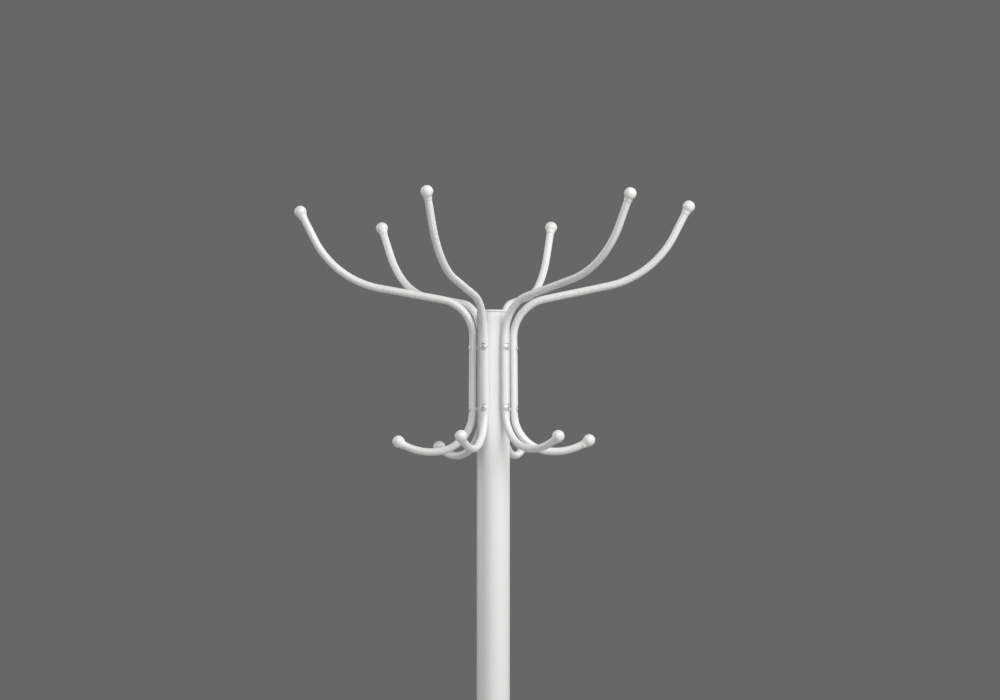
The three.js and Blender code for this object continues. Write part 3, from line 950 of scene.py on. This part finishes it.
class COATSTAND_OT_screws(bpy.types.Operator):
    """Build the twelve screws"""

    bl_idname = "coatstand.screws"
    bl_label = "Screws"

    def execute(self, context):
        screw = context.scene.coat_stand_screw
        driven_turn = math.radians(37)  # so that no two recesses line up
        tip = 9.5 * MM  # the shank's end, from the pole's axis
        mesh = None
        for index, (arm, _, _) in enumerate(ARMS):
            for row_index, row in enumerate(SCREW_ROWS):
                matrix, head_top = screw_frame(row, arm)
                mesh = mesh or screw_mesh(screw, head_top - screw.head_height - tip)
                node = f"{row}_screw_{arm}"
                piece = new_object(node + "_finished", mesh)
                turn = Matrix.Rotation(driven_turn * (2 * index + row_index), 4, "Z")
                piece.matrix_world = matrix @ Matrix.Translation((0, 0, head_top)) @ turn
                place(piece, "nickel_plate", node)
        return {"FINISHED"}


# ---------- the base ----------
def dome_outline(inset):
    """One skin of the base cover, from the pole's hole out to the rim."""
    radius = node_radius("base_cover") - inset
    top = node_top("base_cover") - inset
    bottom = node_bottom("base_cover")
    shoulder = 12 * MM - inset
    shoulder_axis = radius - shoulder
    rim_top = bottom + 8.2 * MM
    flat = 34 * MM
    hole = node_radius("pole_bottom_section") + HOLE_GAP
    start, pull = Vector((flat, top)), Vector((shoulder_axis / 2, top))
    end = Vector((shoulder_axis, rim_top + shoulder))
    outline = [Vector((hole, top)), Vector(((hole + flat) / 2, top))]
    steps = 28
    for step in range(steps):
        t = step / steps
        outline.append((1 - t) ** 2 * start + 2 * t * (1 - t) * pull + t * t * end)
    steps = 12
    for step in range(steps + 1):
        turn = math.pi / 2 * (1 - step / steps)
        outline.append(end + shoulder * Vector((math.cos(turn), math.sin(turn) - 1)))
    outline.append(Vector((radius, bottom + 3 * MM)))
    outline.append(Vector((radius, bottom)))
    return outline


class COATSTAND_OT_base_cover(bpy.types.Operator):
    """Build the spun cover of the base"""

    bl_idname = "coatstand.base_cover"
    bl_label = "Base cover"

    def execute(self, context):
        sheet = 1.2 * MM
        outline = dome_outline(0) + list(reversed(dome_outline(sheet)))
        place_turned("base_cover_spinning", outline, BASE_SIDES, "white_paint", "base_cover")
        return {"FINISHED"}


class COATSTAND_OT_base_ring(bpy.types.Operator):
    """Build the rubber ring that the base stands on"""

    bl_idname = "coatstand.base_ring"
    bl_label = "Base ring"

    def execute(self, context):
        outer, top, bottom = node_radius("base_ring"), node_top("base_ring"), node_bottom("base_ring")
        inner = outer - 12 * MM
        lip = outer - 1.1 * MM
        floor = bottom + 3 * MM
        groove, groove_depth = 1.0 * MM, 0.5 * MM
        corners = [(inner, bottom, 0.5 * MM)]
        for middle in (outer - 8.5 * MM, outer - 6 * MM, outer - 3.5 * MM):
            corners += [
                (middle - groove / 2, bottom, 0.1 * MM),
                (middle - groove / 3, bottom + groove_depth, 0.1 * MM),
                (middle + groove / 3, bottom + groove_depth, 0.1 * MM),
                (middle + groove / 2, bottom, 0.1 * MM),
            ]
        corners += [
            (outer, bottom, 0.8 * MM),
            (outer, top, 0.5 * MM),
            (lip, top, 0.3 * MM),
            (lip, floor, 0.2 * MM),
            (inner, floor, 0.5 * MM),
        ]
        place_turned("base_ring_moulding", rounded_outline(corners, 3), BASE_SIDES, "rubber", "base_ring")
        return {"FINISHED"}


class COATSTAND_OT_base_collar(bpy.types.Operator):
    """Build the collar where the pole enters the base"""

    bl_idname = "coatstand.base_collar"
    bl_label = "Base collar"

    def execute(self, context):
        outer, top, bottom = node_radius("base_collar"), node_top("base_collar"), node_bottom("base_collar")
        inner = node_radius("pole_bottom_section") + HOLE_GAP
        waist = (top + bottom) / 2 - 1.5 * MM
        groove = 0.5 * MM
        corners = [
            (inner, bottom, 0.3 * MM),
            (outer, bottom, 0.5 * MM),
            (outer, waist - groove, 0.2 * MM),
            (outer - groove, waist, 0.15 * MM),
            (outer, waist + groove, 0.2 * MM),
            (outer, top, 4 * MM),
            (inner, top, 0.5 * MM),
        ]
        outline = rounded_outline(corners, 6)
        place_turned("base_collar_moulding", outline, POLE_SIDES, "white_plastic", "base_collar")
        return {"FINISHED"}


class COATSTAND_OT_base_underside(bpy.types.Operator):
    """Build the base's closing plate, bolt and washer"""

    bl_idname = "coatstand.base_underside"
    bl_label = "Base underside"

    def execute(self, context):
        for node, hole, hole_edge, edge, sides in (
            ("base_plate", 15 * MM, 0.3 * MM, 0.5 * MM, BASE_SIDES),
            ("base_washer", 5.4 * MM, 0.2 * MM, 0.4 * MM, 64),
        ):
            outer, top, bottom = node_radius(node), node_top(node), node_bottom(node)
            corners = [
                (hole, bottom, hole_edge),
                (outer, bottom, edge),
                (outer, top, edge),
                (hole, top, hole_edge),
            ]
            place_turned(node + "_pressing", rounded_outline(corners, 3), sides, "zinc_plate", node)

        top, bottom = node_top("base_bolt"), node_bottom("base_bolt")
        corner_radius, head_height, shank = 9.2 * MM, 6.4 * MM, 5 * MM
        head_top = bottom + head_height
        hexagon = [Vector(point) for point in (
            (0, bottom), (corner_radius, bottom), (corner_radius, head_top), (0, head_top)
        )]
        bolt = new_object("base_bolt_turning", revolve("base_bolt_turning", hexagon, 6, closed=False))
        outside, above, beside = 30 * MM, bottom + 12 * MM, corner_radius + 2 * MM
        chamfer = rounded_outline(
            [
                (0, bottom - MM, 0),
                (outside, bottom - MM, 0),
                (outside, above, 0),
                (beside, above, 0),
                (beside, bottom + 1.8 * MM, 0),
                (corner_radius - 1.6 * MM, bottom, 0),
                (0, bottom, 0),
            ]
        )
        cut_away(bolt, [new_object("bolt_chamfer", revolve("bolt_chamfer", chamfer, 64, closed=False))])
        place(bolt, "zinc_plate", "base_bolt")

        root = head_top - 0.5 * MM
        corners = [(0, root, 0), (shank, root, 0), (shank, top, 1 * MM), (0, top, 0)]
        place_turned("base_bolt_shank", rounded_outline(corners, 4), 48, "zinc_plate", closed=False)
        return {"FINISHED"}


class COATSTAND_OT_inner_hardware(bpy.types.Operator):
    """Give the inner plugs, inserts and weight their materials"""

    bl_idname = "coatstand.inner_hardware"
    bl_label = "Inner hardware"

    def execute(self, context):
        inserts = [f"{row}_insert_{arm}" for arm, _, _ in ARMS for row in SCREW_ROWS]
        for node in (*HIDDEN_ZINC_NODES, *inserts):
            set_material(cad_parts[node], "zinc_plate")
        set_material(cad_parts["base_weight"], "cast_iron")
        return {"FINISHED"}


# ---------- the stage ----------
def area_light(name, azimuth, elevation, size, power, aim):
    """A soft panel that looks at aim. Its azimuth is counted from the front towards the right."""
    data = bpy.data.lights.new(name, "AREA")
    data.shape = "RECTANGLE"
    data.size, data.size_y = size
    data.energy = power
    panel = new_object(name, data)
    azimuth, elevation = math.radians(azimuth), math.radians(elevation)
    level = math.cos(elevation)
    back = Vector((math.sin(azimuth) * level, -math.cos(azimuth) * level, math.sin(elevation)))
    panel.location = aim + back * LIGHT_DISTANCE
    panel.rotation_euler = (-back).to_track_quat("-Z", "Y").to_euler()


class COATSTAND_OT_stage(bpy.types.Operator):
    """Lay the floor, hang the lights and set up the camera"""

    bl_idname = "coatstand.stage"
    bl_label = "Stage"

    def execute(self, context):
        stage = context.scene.coat_stand_stage
        pole_top = node_top("pole_cap")

        floor = new_object("floor", bpy.data.meshes.new("floor"))
        corners = [(x * FLOOR_REACH, y * FLOOR_REACH, 0) for x, y in ((-1, -1), (1, -1), (1, 1), (-1, 1))]
        floor.data.from_pydata(corners, [], [(0, 1, 2, 3)])
        floor.location.z = -0.2 * MM
        set_material(floor, "floor")

        world = bpy.data.worlds.new("Studio")
        world.use_nodes = True
        grey = stage.backdrop_grey
        world.node_tree.nodes["Background"].inputs["Color"].default_value = (grey, grey, grey, 1)
        context.scene.world = world
        context.scene.view_settings.view_transform = "Standard"

        aim = Vector((0, 0, pole_top))
        for name, azimuth, elevation, size, setting in LIGHTS:
            area_light(name, azimuth, elevation, size, getattr(stage, setting), aim)

        data = bpy.data.cameras.new("camera")
        data.lens = stage.lens
        camera = new_object("camera", data)
        camera.location = (0, -stage.camera_distance, pole_top - stage.camera_drop)
        camera.rotation_euler = (math.pi / 2 + stage.tilt, 0, -stage.pan)
        context.scene.camera = camera
        return {"FINISHED"}


# ---------- panel and registration ----------
OPERATORS = (
    COATSTAND_OT_pole,
    COATSTAND_OT_cap,
    COATSTAND_OT_arms,
    COATSTAND_OT_balls,
    COATSTAND_OT_screws,
    COATSTAND_OT_base_cover,
    COATSTAND_OT_base_ring,
    COATSTAND_OT_base_collar,
    COATSTAND_OT_base_underside,
    COATSTAND_OT_inner_hardware,
    COATSTAND_OT_stage,
)
SETTINGS = {
    "coat_stand_finish": CoatStandFinish,
    "coat_stand_arm": CoatStandArm,
    "coat_stand_ball": CoatStandBall,
    "coat_stand_screw": CoatStandScrew,
    "coat_stand_stage": CoatStandStage,
}


class COATSTAND_PT_panel(bpy.types.Panel):
    """Lists the coat stand's build steps and settings"""

    bl_idname = "COATSTAND_PT_panel"
    bl_label = "Coat Stand"
    bl_space_type = "VIEW_3D"
    bl_region_type = "UI"
    bl_category = "Coat Stand"

    def draw(self, context):
        for operator in OPERATORS:
            self.layout.operator(operator.bl_idname)
        for name, group in SETTINGS.items():
            box = self.layout.box()
            box.label(text=group.__doc__)
            for key in group.__annotations__:
                box.prop(getattr(context.scene, name), key)


def register():
    for group in SETTINGS.values():
        bpy.utils.register_class(group)
    for name, group in SETTINGS.items():
        setattr(bpy.types.Scene, name, PointerProperty(type=group))
    for operator in OPERATORS:
        bpy.utils.register_class(operator)
    bpy.utils.register_class(COATSTAND_PT_panel)


def unregister():
    bpy.utils.unregister_class(COATSTAND_PT_panel)
    for operator in reversed(OPERATORS):
        bpy.utils.unregister_class(operator)
    for name in SETTINGS:
        delattr(bpy.types.Scene, name)
    for group in reversed(tuple(SETTINGS.values())):
        bpy.utils.unregister_class(group)


def main():
    register()
    for operator in OPERATORS:
        section, action = operator.bl_idname.split(".")
        getattr(getattr(bpy.ops, section), action)()


if __name__ == "__main__":
    main()
